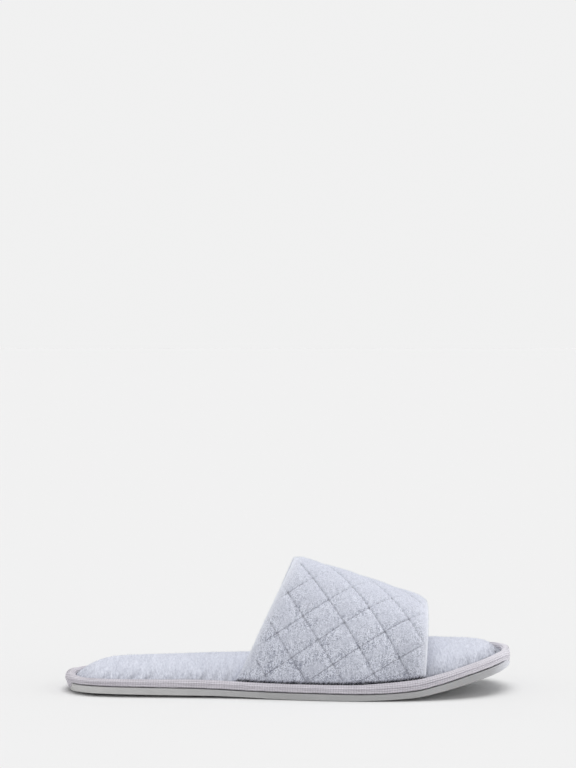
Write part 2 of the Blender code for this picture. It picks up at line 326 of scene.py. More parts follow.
RUBBER_LIT_TONES = (  # from the heel, grey of the rubber with painted light in it: the paler heel and toe tip and the darker stretch behind the tip
    (0.0, (0.67, 0.667, 0.663)),
    (135.0, (0.485, 0.485, 0.49)),
    (205.0, (0.475, 0.475, 0.48)),
    (232.0, (0.42, 0.42, 0.425)),
    (245.0, (0.44, 0.442, 0.455)),
    (256.0, (0.73, 0.74, 0.79)),
)
RUBBER_LENGTH = 258.0
RUBBER_GROOVE_SHADOW = (0.12, 0.12, 0.125, 1.0)
RUBBER_CLOUDS = (0.88, 1.12)
UNIT_RANGE = (0.0, 1.0)
rubber, node, into, finish = new_material("soft_rubber")
where = node("TexCoord").outputs["Object"]
cloud = node("TexNoise", Vector=where, Scale=60.0, Detail=3.0).outputs["Fac"]
grain = node("TexNoise", Vector=where, Scale=2200.0, Detail=2.0).outputs["Fac"]
from_heel = node("SeparateXYZ", Vector=where).outputs["X"]
heel_to_toe = (HEEL[0], HEEL[0] + RUBBER_LENGTH * MM)
# Painted light along the foot: a ramp of greys, paler at the heel and at the toe's tip.
lit_tones = node("ValToRGB", Fac=ranged(node, from_heel, heel_to_toe, UNIT_RANGE))
lit_tones.color_ramp.elements.remove(lit_tones.color_ramp.elements[1])
for place, tone in RUBBER_LIT_TONES[1:]:
    lit_tones.color_ramp.elements.new(place / RUBBER_LENGTH).color = (*tone, 1.0)
lit_tones.color_ramp.elements[0].color = (*RUBBER_LIT_TONES[0][1], 1.0)
clouds = ranged(node, cloud, UNIT_RANGE, RUBBER_CLOUDS)
tone = node("Mix", {"data_type": "RGBA", "blend_type": "MULTIPLY"}, _0=1.0, _6=lit_tones.outputs[0], _7=clouds)
# Painted shade in the grooves between the waves.
deep = kept_mark(node, "groove", GROOVE_PAINTED_SHADE)
into("Base Color", blend(node, deep, tone.outputs[2], RUBBER_GROOVE_SHADOW))
into("Normal", node("Bump", Strength=0.25, Distance=0.0002, Height=grain).outputs["Normal"])
finish(Roughness=0.62, Specular_IOR_Level=0.35)
dressed(outsole, rubber)
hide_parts("outsole")

# Edge binding: a woven tape wrapped over the raw edge of the layers and sewn down, so that it stands as a
# rolled rim with a crease along its side. Its cords run lengthwise, as fine ribs. It laps over both tips of
# the sole.
BINDING_WIDTH = 4.6
CLEARANCE = 0.3
TAPE = (  # inset from the outline, share of the rim's rise, share of the swell
    (1.2, 0.0, 0.0),
    (0.65, 0.04, 0.1),
    (0.22, 0.12, 0.2),
    (0.25, 0.2, 0.3),
    (0.15, 0.38, 0.5),
    (0.65, 0.5, 0.7),
    (0.3, 0.61, 1.0),
    (0.9, 0.8, 0.9),
    (2.0, 0.96, 0.3),
    (2.9, 1.0, 0.0),
    (4.0, 0.88, 0.0),
    (4.6, 0.64, 0.0),
    (4.6, 0.0, 0.0),
    (2.9, -0.02, 0.0),
    (1.2, 0.0, 0.0),
)
TAPE_POINTS = 100
END_LAP = (  # from the heel, share of the outsole's wall that the tape laps over
    (0.0, 0.9),
    (1.4, 0.75),
    (3.4, 0.0),
    (253.0, 0.0),
    (255.0, 0.25),
    (257.0, 0.6),
    (258.0, 0.7),
)
LAP_OVER = 0.4  # how far the lapped tape stands out
TUCK_SHARE = 0.7  # share of the outsole's tuck at the heel that the tape follows
CREASE_RISE = 0.5  # share of the rim's rise at the crease
TAPE_RIB = 1.3  # from rib to rib
RIB_HEIGHT = 0.1
RIB_START = 0.125  # share of the rim's rise over which the ribs grow
EDGE_WAVER = 0.16  # how far the tape's lower edge strays up and down
WAVER_RISE = 0.2  # share of the rim's rise over which that dies out
WAVER_LENGTHS = (7.0, 11.0, 26.0)
WAVER_SEED = 3
TAPE_PICK = 1.45  # from weft to weft
CORD_WIDTH = 0.6
CORD_RUN = 14.0  # length over which a cord keeps its tone
PICK_WEIGHT = 0.6  # of the wefts in the weave, beside the ribs
WEAVE_WEIGHT = 0.34  # of the weave in the tape's tone, beside the cords
FUZZ_WEIGHT = 0.6
TAPE_RANGE = (0.61, 1.51)  # from dark to light, in their sum
TAPE_DARK = (0.42, 0.4, 0.44, 1.0)
TAPE_LIGHT = (0.78, 0.75, 0.81, 1.0)
TAPE_TOE_HIGHLIGHT = (0.88, 0.87, 0.93, 1.0)  # painted highlight towards the tip of the toe
TAPE_TOE_HIGHLIGHT_SPAN = (200.0, 256.0, 0.38)  # from the heel: where the painted highlight starts, where it is full, how far it goes

swell = layer("swell", EDGE[:, 0])
lap = along_table(END_LAP, EDGE[:, 0])
rng = np.random.default_rng(WAVER_SEED)
waves = [np.sin(2 * math.pi * (AROUND / length + rng.random())) for length in WAVER_LENGTHS]
waver = sum(waves) / len(waves)
rows = []
for inset, rise, share in rounded(TAPE, TAPE_POINTS):
    outer = inset < BINDING_WIDTH / 2
    lapped = np.where(outer, np.minimum(inset, inset * (1 - lap) - LAP_OVER * lap), inset)
    drawn_in = TUCK_SHARE * heel_tuck * outer * max(1 - rise / CREASE_RISE, 0.0)
    plan = outline_in(lapped + drawn_in - swell * share)
    low = lap * outer * (1 - np.clip(rise, 0.0, 1.0))
    stray = EDGE_WAVER * (1 + waver) * outer * max(1 - rise / WAVER_RISE, 0.0)
    base = layer("outsole", plan[:, 0]) * (1 - low) + CLEARANCE + stray
    rows.append(raised(plan, base + rise * layer("rim", plan[:, 0])))
rows = np.array(rows)
step = np.linalg.norm(np.diff(rows, axis=0), axis=2)
across = np.concatenate([np.zeros((1, rows.shape[1])), step.cumsum(axis=0)])
out = np.cross(np.roll(rows, -1, axis=1) - np.roll(rows, 1, axis=1), np.gradient(rows, axis=0))
out /= np.linalg.norm(out, axis=2)[:, :, None]
shown = np.clip(rounded(TAPE, TAPE_POINTS)[:, 1] / RIB_START, 0.0, 1.0)[:, None]
rib = RIB_HEIGHT * shown * np.sin(2 * math.pi * across / TAPE_RIB)
rows += out * rib[:, :, None]
binding = wrapped("edge_binding_tape", rows, across=across, along=np.broadcast_to(AROUND, across.shape))

tape, node, into, finish = new_material("woven_tape")
where = node("TexCoord").outputs["Object"]


def weighed(node, value, weight, rest, **settings):
    """A value times its weight, plus the rest."""
    return node("Math", {"operation": "MULTIPLY_ADD", **settings}, _0=value, _1=weight, _2=rest).outputs[0]


def ripple(node, name, pitch):
    """A wave from 0 to 1 along a mark that the mesh keeps in millimetres."""
    wave = node("Math", {"operation": "SINE"}, _0=kept_mark(node, name, 2 * math.pi / pitch)).outputs[0]
    return weighed(node, wave, 0.5, 0.5)


ribs = ripple(node, "across", TAPE_RIB)
picks = ripple(node, "along", TAPE_PICK)
weave = weighed(node, picks, PICK_WEIGHT, ribs)
over_cord = kept_mark(node, "across", 1 / CORD_WIDTH)
along_cord = kept_mark(node, "along", 1 / CORD_RUN)
lengthwise = node("CombineXYZ", X=over_cord, Y=along_cord).outputs[0]
cords = node("TexNoise", Vector=lengthwise, Scale=1.0, Detail=2.0).outputs["Fac"]
fuzz = node("TexNoise", Vector=where, Scale=1300.0, Detail=2.0).outputs["Fac"]
mixed = weighed(node, fuzz, FUZZ_WEIGHT, weighed(node, weave, WEAVE_WEIGHT, cords))
tone = blend(node, ranged(node, mixed, TAPE_RANGE, UNIT_RANGE), TAPE_DARK, TAPE_LIGHT)
starts, full, most = TAPE_TOE_HIGHLIGHT_SPAN
from_heel = node("SeparateXYZ", Vector=where).outputs["X"]
# Painted highlight on the tape round the toe's tip.
toe_highlight = ranged(node, from_heel, (HEEL[0] + starts * MM, HEEL[0] + full * MM), (0.0, most))
into("Base Color", blend(node, toe_highlight, tone, TAPE_TOE_HIGHLIGHT))
into("Normal", node("Bump", Strength=0.35, Distance=0.0003, Height=weave).outputs["Normal"])
finish(Roughness=0.85, Specular_IOR_Level=0.2, Sheen_Weight=0.12, Sheen_Roughness=0.4)
dressed(binding, tape)
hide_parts("edge_binding")

# Insole: a crowned foam pad under a cover of pale heather velour. The cover is drawn down over the foam's
# edge and sewn in behind the tape, which pulls short dents into it here and there.
TUCK_WALL = 1.2
TUCK_GAP = CLEARANCE + TUCK_WALL + CLEARANCE
TUCK_ENDS = ((98.6, 106.6), (205.4, 204.0))  # back and front of the slit for the upper, outer and inner side
TUCK_EASE = 4.0  # the slit closes over this distance
STEP_IN = (  # from the heel, how far inside its foot the crown starts
    (0.0, 0.3),
    (22.0, 0.0),
    (242.0, 0.0),
    (258.0, 2.7),
)
CROWN = (  # from the heel, height over the sole's edge
    (0.0, 16.2),
    (36.0, 17.5),
    (64.0, 18.5),
    (90.0, 19.7),
    (110.0, 20.8),
    (150.0, 22.5),
    (208.0, 25.9),
    (223.0, 22.6),
    (238.0, 18.6),
    (246.0, 16.4),
    (258.0, 14.6),
)
CROWN_DROP = 1.2  # the crown starts this far under the rim's crest
FOOT_DROP = 1.0  # and the cover's foot meets the tape this far under that
CROWN_FULLNESS = 2.4
UNDER_RINGS = (1.0, 0.5, 0.0)  # shares of the way in under the pad
FOOT_RINGS = (0.0, 0.3, 0.6, 0.85)  # shares of the way from the tape to the crown's start
COVER_RINGS = 56
RING_CROWDING = 1.6  # over 1, the crown's rings crowd towards its edge
DENT_SEED = 11
DENT_SPACING = (6.0, 14.0)
DENT_WIDTH = (0.9, 2.2)
DENT_DEPTH = (0.3, 1.0)
TOE_DENTS = 0.4  # share of that depth round the toe
DENT_START = 1.0  # distance from the edge over which a dent sets in
DENT_REACH = 6.0  # how far a dent runs in from the edge
# painted shade in the dents
DENT_SHADE = 0.42
FOOT_SHADE = 0.45  # painted shade on the cover's foot behind the tape
SEAM_SHADE = 0.75  # painted shade in the crevice along the tape, at most
SEAM_WIDTH = 1.1
SEAM_SHADE_SHARE = (0.5, 0.7)  # usual share of that shade, and how far it differs from place to place
SEAM_LEAST = 0.05
EDGE_REACH = 7.0  # how far in from the edge the painted shade reaches
EDGE_SHADE = 0.12
BAND_FRONT = 205.0  # front of the upper, from the heel; painted shade lies in front of it too
TOE_START = BAND_FRONT - 20.0
TOE_EDGE_SHADE = 0.1  # added to the edge's painted shade from there on
FRONT_REACH = 9.0
FRONT_SHADE = 0.06
LOW_REACH = 12.0  # how far in from the edge the painted shade in front of the upper is stronger
LOW_SHADE = 0.17

rng = np.random.default_rng(DENT_SEED)
dents = np.zeros(len(AROUND))
place = 0.0
while place < AROUND[-1]:
    dents += rng.uniform(*DENT_DEPTH) * np.exp(-((AROUND - place) / rng.uniform(*DENT_WIDTH)) ** 2)
    place += rng.uniform(*DENT_SPACING)
dents *= np.where(EDGE[:, 0] > BAND_FRONT, TOE_DENTS, 1.0)
on_outer_side = np.arange(len(EDGE)) <= STATIONS
back_end, front_end = (np.where(on_outer_side, *ends) for ends in TUCK_ENDS)
slit = np.clip(np.minimum(EDGE[:, 0] - back_end, front_end - EDGE[:, 0]) / TUCK_EASE + 1, 0.0, 1.0)
gap = CLEARANCE + (TUCK_GAP - CLEARANCE) * slit
seat = outline_in(BINDING_WIDTH + gap)
edge = outline_in(BINDING_WIDTH + gap + along_table(STEP_IN, EDGE[:, 0]))
middle = middle_line(edge)
reach = np.linalg.norm(middle - edge, axis=1)


def cover_low(plan):
    """Height at which the crown starts, over the edge of the sole's underside."""
    return layer("outsole", plan[:, 0]) + CLEARANCE + layer("rim", plan[:, 0]) - CROWN_DROP


bottom = []
for share in UNDER_RINGS:
    plan = seat + (middle - seat) * share
    bottom.append(raised(plan, layer("outsole", plan[:, 0]) + CLEARANCE))
foot = []
for share in FOOT_RINGS:
    plan = seat + (edge - seat) * share
    foot.append(raised(plan, cover_low(plan) - FOOT_DROP * (1 - share**2)))
around_noise = rng.normal(0.0, 1.0, len(AROUND))
seam_shade_share = (np.roll(around_noise, 1) + around_noise + np.roll(around_noise, -1)) / 3
seam_shade_share = np.clip(SEAM_SHADE_SHARE[0] + SEAM_SHADE_SHARE[1] * seam_shade_share, SEAM_LEAST, 1.0)
cover = []
shadow = []
rough = []
for share in np.linspace(0.0, 1.0, COVER_RINGS) ** RING_CROWDING:
    plan = edge + (middle - edge) * share
    low = cover_low(plan)
    rise = 1 - (1 - share) ** CROWN_FULLNESS
    inwards = share * reach
    dent = dents * np.exp(-(inwards / DENT_REACH) ** 2) * np.clip(inwards / DENT_START, 0.0, 1.0)
    cover.append(raised(plan, low + (along_table(CROWN, plan[:, 0]) - low) * rise - dent))
    near = np.exp(-((inwards / EDGE_REACH) ** 2))
    before = np.exp(-(np.maximum(plan[:, 0] - BAND_FRONT, 0.0) / FRONT_REACH) ** 2)
    seam = SEAM_SHADE * seam_shade_share * np.exp(-((inwards / SEAM_WIDTH) ** 2))
    ahead = plan[:, 0] > TOE_START
    low_down = np.exp(-((inwards / LOW_REACH) ** 2))
    # Painted shade: darker along the edge, in the crevice at the tape, in the dents and in front of the
    # upper.
    painted_edge_shade = (EDGE_SHADE + TOE_EDGE_SHADE * ahead) * near
    painted_front_shade = ahead * before * (FRONT_SHADE + LOW_SHADE * low_down)
    shadow.append(painted_edge_shade + seam + DENT_SHADE * dent + painted_front_shade)
    rough.append(near)
cover = np.array(cover)
under = np.zeros((len(bottom) + len(foot), len(EDGE)))
shadow = np.concatenate([under + FOOT_SHADE, shadow])
rough = np.concatenate([under + 1, rough])
insole = wrapped("insole_cover", np.concatenate([bottom, foot, cover]), dark=shadow, rough=rough)

VELOUR_DARK = (0.335, 0.352, 0.43, 1.0)
VELOUR_LIGHT = (0.88, 0.905, 1.0, 1.0)
VELOUR_SHADOW = (0.04, 0.04, 0.055, 1.0)  # painted shadow colour that the dark mark blends to, in crevices, seams and stitch valleys
VELOUR_HIGHLIGHT = (0.905, 0.92, 0.98, 1.0)  # painted highlight colour that the pale mark blends to, on the hems
VELOUR_SHARE = 0.6  # usual share of the light tone
CLUMP_SCALE = 0.28  # clumps of pile, as a share of the flecks' scale
CLUMP_HEIGHT = 0.6  # beside that of a fleck
SHEEN = 0.3
INSOLE_VELOUR = {
    "fleck_scale": (1200.0, 300.0, 620.0),
    "streak_scale": (560.0, 40.0, 130.0),
    "weights": (1.0, 0.3, 0.5),
    "contrast": (0.65, 1.4),
}


def velour(name, fleck_scale, streak_scale, weights, contrast):
    """Heather velour: short pile in mixed greys, speckled, with faint streaks where it lies over.

    Scales are along, across and up. Weights are of flecks, clumps and streaks. Contrast is how strong the
    speckle is where the pile lies smooth and where it is rough.
    """
    material, node, into, finish = new_material(name)
    where = node("TexCoord").outputs["Object"]
    fine = node("Mapping", Vector=where, Scale=fleck_scale).outputs[0]
    fleck = node("TexNoise", Vector=fine, Scale=1.0, Detail=2.0, Roughness=0.6).outputs["Fac"]
    clump = node("TexNoise", Vector=fine, Scale=CLUMP_SCALE, Detail=3.0, Roughness=0.55).outputs["Fac"]
    leaning = node("Mapping", Vector=where, Scale=streak_scale).outputs[0]
    streak = node("TexNoise", Vector=leaning, Scale=1.0, Detail=2.0).outputs["Fac"]
    speckle = -sum(weights) / 2
    for noise, weight in zip((fleck, clump, streak), weights):
        speckle = weighed(node, noise, weight, speckle)
    gain = ranged(node, kept_mark(node, "rough", 1.0), UNIT_RANGE, contrast, clamp=False)
    spread = weighed(node, speckle, gain, VELOUR_SHARE, use_clamp=True)
    tone = blend(node, spread, VELOUR_DARK, VELOUR_LIGHT)
    # Painted highlight where the mesh marks the pile pale.
    tone = blend(node, kept_mark(node, "pale", 1.0), tone, VELOUR_HIGHLIGHT)
    # Painted shade where the mesh marks the pile dark.
    into("Base Color", blend(node, kept_mark(node, "dark", 1.0), tone, VELOUR_SHADOW))
    pile = weighed(node, clump, CLUMP_HEIGHT, fleck)
    into("Normal", node("Bump", Strength=0.5, Distance=0.0006, Height=pile).outputs["Normal"])
    finish(Roughness=0.95, Specular_IOR_Level=0.1, Sheen_Weight=SHEEN, Sheen_Roughness=0.35)
    finish(Sheen_Tint=(0.92, 0.94, 1.0, 1.0))
    return material


dressed(insole, velour("insole_velour", **INSOLE_VELOUR))
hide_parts("insole")

# Insole pile: the loose fibre ends that stand out of the cover's velour, one thin sliver each.
PILE_LENGTH = 0.9
PILE_LENGTHS = (0.6, 1.3)  # shortest and longest, as shares of that
PILE_WIDTH = 0.08
PILE_SPREAD = 0.5
INSOLE_FIBRES = 16000
INSOLE_LEAN = (0.2, 0.0, 0.0)
INSOLE_SEED = 21
FIBRE_DARK = (0.72, 0.74, 0.80, 1.0)
FIBRE_LIGHT = (0.93, 0.95, 1.0, 1.0)


def fibres(name, grid, count, lean, seed):
    """Slivers that stand on a grid of points, scattered evenly over its area."""
    rng = np.random.default_rng(seed)
    a, b, c, d = grid[:-1, :-1], grid[1:, :-1], grid[:-1, 1:], grid[1:, 1:]
    normal = np.cross(b - a, c - a)
    area = np.linalg.norm(normal, axis=2)
    i, k = np.unravel_index(rng.choice(area.size, count, p=(area / area.sum()).ravel()), area.shape)
    u, w = rng.random((2, count, 1))
    root = (a[i, k] * (1 - u) + b[i, k] * u) * (1 - w) + (c[i, k] * (1 - u) + d[i, k] * u) * w
    up = normal[i, k] / area[i, k][:, None]
    way = up + np.array(lean) + rng.normal(0.0, PILE_SPREAD, (count, 3))
    way *= PILE_LENGTH * rng.uniform(*PILE_LENGTHS, (count, 1)) / np.linalg.norm(way, axis=1)[:, None]
    side = np.cross(way, rng.normal(size=(count, 3)))
    side *= PILE_WIDTH / 2 / np.linalg.norm(side, axis=1)[:, None]
    slivers = np.stack([root - side, root + side, root + way], axis=1).reshape(-1, 3)
    mesh = bpy.data.meshes.new(name)
    mesh.from_pydata(slivers * MM + HEEL, [], np.arange(3 * count).reshape(-1, 3))
    shades = mesh.attributes.new("shade", "FLOAT", "POINT")
    shades.data.foreach_set("value", np.repeat(rng.random(count), 3))
    return placed(name, mesh)


insole_pile = fibres("insole_pile", cover.transpose(1, 0, 2), INSOLE_FIBRES, INSOLE_LEAN, INSOLE_SEED)
pile, node, into, finish = new_material("velour_fibre")
into("Base Color", blend(node, kept_mark(node, "shade", 1.0), FIBRE_DARK, FIBRE_LIGHT))
finish(Roughness=0.9, Specular_IOR_Level=0.1, Sheen_Weight=SHEEN)
dressed(insole_pile, pile)

# Upper: a band of the same velour over wadding and a knitted lining, stitched through in diamonds and hemmed
# at front and back. Its two lower edges are tucked down between the tape and the insole and sewn in.
BAND = (  # crest from the heel, crest height, outer seam from the heel, inner seam from the heel
    (133.3, 76.8, 101.0, 109.0),
    (208.5, 51.9, *TUCK_ENDS[1]),
)
BAND_WALL = 2.6
WALL_RISE = 7.0  # distance from the seam over which the wall fills out
BAND_FULLNESS = 0.95
CREST_BOW = 1.1
BACK_BOW = 1.2
BACK_FLARE = BAND[0][2] - TUCK_ENDS[0][0]  # how far the back edge spreads at its foot
FLARE_HEIGHT = 4.0
SEAM_DROP = 0.2
BAND_STEPS = 170
BAND_TURNS = 360
LINING_STRIDE = 3
LINING_PUFF = 0.9  # how far the lining swells between the stitch lines
FOLD_POINTS = 7
QUILT_SLOPE = math.radians(16.0)
CREST_WAY = np.array([math.cos(QUILT_SLOPE), 0.0, -math.sin(QUILT_SLOPE)])
QUILT_ALONG = 23.4
QUILT_AROUND = 24.8
QUILT_START = 107.3
QUILT_SHIFT = 0.25
LINE_GAP = QUILT_ALONG * QUILT_AROUND / math.hypot(QUILT_ALONG, QUILT_AROUND)  # from line to line
STITCH_PULL = 0.5  # how far the stitches draw the face in
PAD_DOME = 0.85  # rise of a pad from its rim to its middle
PAD_FULLNESS = 0.7
PAD_ODDS = 0.2  # how far pads differ in height
PAD_REPEAT = 64  # pads after which these odds repeat
QUILT_SEED = 5
VALLEY_DEPTH = 0.52  # of the narrow valley that the stitches pull
VALLEY_WIDTH = 0.4
RISING_HOLD = 34.0  # the rising lines come out of the pile over this distance from the crest
HOLD_RANGE = (0.1, 0.95)  # how far they show, from the crest down
PUCKER = 0.16  # height of the small folds that run away from the stitches
PUCKER_REACH = 2.2
STITCH_PITCH = 3.5
QUILT_FADE = 3.6  # distance from the hems over which the relief grows
SEAM_ROLL = 2.6  # height over which the lower edge rolls in to its seam
SEAM_TUCK = 2.2  # how far it rolls in
LEAST_WALL = 0.6  # what is left of the wall there
HOLE_SHADE = 0.24  # painted shade: how dark the pile is along the stitch valleys
HOLE_SWING = 0.4  # how far that swings from stitch to stitch
HOLE_WIDTH = 0.4
CROSSING_SHADE = 0.4  # painted shade where two lines cross
CROSSING_SPAN = 0.55
BAND_FOOT_SHADE = 0.1  # painted shade low on the band
BAND_FOOT_REACH = 14.0
HEM_SHADE = 0.16  # painted shade low down behind the front hem
HEM_SHADE_PLACE = 12.0
HEM_SHADE_REACH = 9.0
SLIT_START = 1.4  # of the ragged line of painted shade in the crevice along the seam
SLIT_REACH = 1.4
SLIT_RAGGED = 0.35
SLIT_MOST = 0.95
PATCH_LENGTHS = (11.0, 17.0, 26.0)  # the pile lies rougher in some patches than in others
PATCH_ODDS = 0.22
ROUGH_LINES = 1.45  # how rough it lies along the stitch lines
ROUGH_LESS = 0.75  # how much less on the pads
FRONT_PALE = (0.75, 2.0)  # painted highlight on the front hem: how pale the pile is there, and over which distance that fades
BACK_PALE = (0.65, 2.4)
BACK_PALE_HEIGHT = 22.0  # the back hem carries its painted highlight from this height over its foot
FOLD_PALE = (1.0, 0.25)  # painted highlight across the folded hem, from the face to the lining
BACK_FOLD_LESS = 0.1  # how much less of that at the back
UPPER_VELOUR = {
    "fleck_scale": (1750.0, 1750.0, 1500.0),
    "streak_scale": (720.0, 500.0, 140.0),
    "weights": (1.3, 0.22, 0.42),
    "contrast": (0.85, 3.3),
}

inset = BINDING_WIDTH + CLEARANCE
along = np.linspace(0.0, 1.0, BAND_STEPS + 1)[:, None]
turn = np.linspace(-math.pi / 2, math.pi / 2, BAND_TURNS + 1)[None, :]
crest_x, crest_z, outer_x, inner_x = (back + (front - back) * along for back, front in zip(*BAND))
crest_z = crest_z + CREST_BOW * np.sin(math.pi * along)
seam_x = np.where(turn < 0, outer_x, inner_x)
plan = outline_in(inset)
outer_side = plan[:STATIONS + 1]
inner_side = np.concatenate([plan[:1], plan[:STATIONS - 1:-1]])
outer_y = np.interp(seam_x, outer_side[:, 0], outer_side[:, 1])
inner_y = np.interp(seam_x, inner_side[:, 0], inner_side[:, 1])
seam_y = np.where(turn < 0, outer_y, inner_y)
floor_z = layer("edge", seam_x) + layer("outsole", seam_x) + CLEARANCE
seam_z = floor_z + layer("rim", seam_x) - SEAM_DROP
rise = np.maximum(np.cos(turn), 0.0) ** BAND_FULLNESS
band_x = crest_x + (seam_x - crest_x) * (1 - rise) - BACK_BOW * (1 - along) * np.sin(math.pi * rise)
band_y = seam_y * np.abs(np.sin(turn)) ** BAND_FULLNESS
band_z = seam_z + (crest_z - seam_z) * rise
band_x = band_x - BACK_FLARE * (1 - along) ** 3 * np.exp(-(band_z - seam_z) / FLARE_HEIGHT)
band = np.stack([band_x, band_y, band_z], axis=2)


def unit(vectors):
    return vectors / np.linalg.norm(vectors, axis=2)[:, :, None]


forward = unit(np.gradient(band, axis=0))
outward = unit(np.cross(forward, np.gradient(band, axis=1)))
step = np.diff(band, axis=1)
across_crest = np.sqrt(np.maximum((step**2).sum(axis=2) - (step @ CREST_WAY) ** 2, 0.0))
around = np.concatenate([np.zeros((len(band), 1)), np.cumsum(across_crest, axis=1)], axis=1)
around -= around[:, BAND_TURNS // 2][:, None]
to_seam = np.minimum(around - around[:, :1], around[:, -1:] - around)
length = np.linalg.norm(np.diff(band, axis=0), axis=2).cumsum(axis=0)
from_back = np.concatenate([np.zeros((1, band.shape[1])), length])
to_hem = np.minimum(from_back, from_back[-1:] - from_back)

quilt_c = (band @ CREST_WAY - QUILT_START) / QUILT_ALONG
quilt_t = around / QUILT_AROUND + QUILT_SHIFT
falling = quilt_c + quilt_t
rising = quilt_c - quilt_t
to_falling = np.abs(falling - np.round(falling)) * LINE_GAP
to_rising = np.abs(rising - np.round(rising)) * LINE_GAP
to_line = np.minimum(to_falling, to_rising)
rng = np.random.default_rng(QUILT_SEED)
odds = 1 + PAD_ODDS * rng.uniform(-1.0, 1.0, (PAD_REPEAT, PAD_REPEAT))
hold = np.clip(np.abs(around) / RISING_HOLD, *HOLD_RANGE)
arch = np.sin(math.pi * falling) * (1 - hold + hold * np.abs(np.sin(math.pi * rising)))
pad = [np.floor(lines).astype(int) % PAD_REPEAT for lines in (falling, rising)]
dome = np.abs(arch) ** PAD_FULLNESS * odds[pad[0], pad[1]]
valley = np.maximum(np.exp(-to_falling / VALLEY_WIDTH), hold * np.exp(-to_rising / VALLEY_WIDTH))
pucker = np.sin(2 * math.pi * rising * LINE_GAP / STITCH_PITCH) * np.exp(-to_falling / PUCKER_REACH)
pucker += hold * np.sin(2 * math.pi * falling * LINE_GAP / STITCH_PITCH) * np.exp(-to_rising / PUCKER_REACH)
fade = np.clip(to_hem / QUILT_FADE, 0.0, 1.0)
puff = (PAD_DOME * dome + VALLEY_DEPTH * (1 - valley) + PUCKER * pucker) * fade
low = np.clip(1 - to_seam / SEAM_ROLL, 0.0, 1.0)
rolled_in = SEAM_TUCK * (1 - np.sqrt(1 - low**2))
puff = (puff - STITCH_PULL) * np.clip(to_seam / SEAM_ROLL, 0.0, 1.0) - rolled_in
wall = TUCK_WALL + (BAND_WALL - TUCK_WALL) * np.clip(to_seam / WALL_RISE, 0.0, 1.0)
face = band + outward * puff[:, :, None]
lining_puff = LINING_PUFF * dome * fade * np.clip(to_seam / WALL_RISE, 0.0, 1.0)
lining = band - outward * (np.maximum(wall, SEAM_TUCK * low + LEAST_WALL) + lining_puff)[:, :, None]

bend = np.linspace(0.0, math.pi, FOLD_POINTS + 2)[1:-1, None, None]


def fold(end, way):
    """Rows of the folded hem at an end of the band, in the order in which the section goes round."""
    middle = (face[end] + lining[end]) / 2
    half = (face[end] - lining[end]) / 2
    return middle + way * (half * np.cos(bend) + forward[end] * BAND_WALL / 2 * np.sin(bend))


front_fold = fold(-1, 1)
back_fold = fold(0, -1)
sections = np.concatenate([face, front_fold, lining[::-LINING_STRIDE], back_fold])
hole = np.where(to_falling < to_rising, rising, falling) * LINE_GAP / STITCH_PITCH
holes = 1 - HOLE_SWING + HOLE_SWING * np.cos(2 * math.pi * hole)
holes *= np.exp(-(to_line / HOLE_WIDTH) ** 2) * fade
holes *= np.where(to_falling < to_rising, 1.0, hold)
ragged = rng.normal(0.0, SLIT_RAGGED, (BAND_STEPS + 1, 1))
seam_line = np.clip(SLIT_START + ragged - to_seam / SLIT_REACH, 0.0, SLIT_MOST)
to_front = from_back[-1:] - from_back
low_shade = BAND_FOOT_SHADE * np.exp(-to_seam / BAND_FOOT_REACH)
low_shade += HEM_SHADE * (1 - rise) * np.exp(-(((to_front - HEM_SHADE_PLACE) / HEM_SHADE_REACH) ** 2))
crossings = hold * np.exp(-(to_falling**2 + to_rising**2) / CROSSING_SPAN) * fade
# Painted shade along the stitches, at their crossings, low on the band, behind the front hem and in the
# seam's crevice.
dark = np.maximum(HOLE_SHADE * holes + CROSSING_SHADE * crossings + low_shade, seam_line)


def over_sections(on_face, on_front, on_lining, on_back):
    """A mark for all rows of the band's sections: its face, front fold, lining and back fold."""
    grids = (face, front_fold, lining[::-LINING_STRIDE], back_fold)
    given = (on_face, on_front, on_lining, on_back)
    rows = np.concatenate([np.broadcast_to(mark, grid.shape[:2]) for grid, mark in zip(grids, given)])
    return np.concatenate([rows[:, :1], rows, rows[:, -1:]], axis=1).T


patches = np.ones(band.shape[:2])
for patch in PATCH_LENGTHS * 2:
    aim, start = rng.uniform(0.0, 2 * math.pi, 2)
    course = math.cos(aim) * from_back + math.sin(aim) * around
    patches += PATCH_ODDS * np.sin(2 * math.pi * course / patch + start)
# Painted highlight on the hems and their folds.
fold_pale = np.linspace(*FOLD_PALE, FOLD_POINTS)[:, None]
back_high = np.clip((band_z[0] - seam_z[0]) / BACK_PALE_HEIGHT, 0.0, 1.0)
hem_pale = FRONT_PALE[0] * np.exp(-to_front / FRONT_PALE[1])
hem_pale += BACK_PALE[0] * back_high * np.exp(-from_back / BACK_PALE[1])
quilt_marks = {
    "dark": over_sections(dark, 0.0, 0.0, 0.0),
    "rough": over_sections((1 - rise) * (ROUGH_LINES - ROUGH_LESS * dome) * patches, 0.0, 0.0, 0.0),
    "pale": over_sections(hem_pale, fold_pale, 0.0, (fold_pale[::-1] - BACK_FOLD_LESS) * back_high),
    "lined": over_sections(0.0, 0.0, 1.0, 0.0),
    "around": over_sections(around, around[-1:], around[::-LINING_STRIDE], around[:1]),
    "along": over_sections(from_back, from_back[-1:], from_back[::-LINING_STRIDE], from_back[:1]),
}
tuck = sections.copy()
tuck[:, :, 2] = np.minimum(sections[:, :, 2], floor_z.min())
rows = np.concatenate([tuck[:, :1], sections, tuck[:, -1:]], axis=1).transpose(1, 0, 2)
upper = wrapped("upper_quilt", rows, **quilt_marks)
dressed(upper, velour("upper_velour", **UPPER_VELOUR))
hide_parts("upper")

LINING_WALE = 1.0  # from rib to rib of the knit
LINING_COURSE = 0.8  # from row to row
LINING_DARK = (0.56, 0.58, 0.65, 1.0)
LINING_LIGHT = (0.86, 0.88, 0.95, 1.0)
COURSE_WEIGHT = 0.5  # of the rows in the loops, beside the ribs
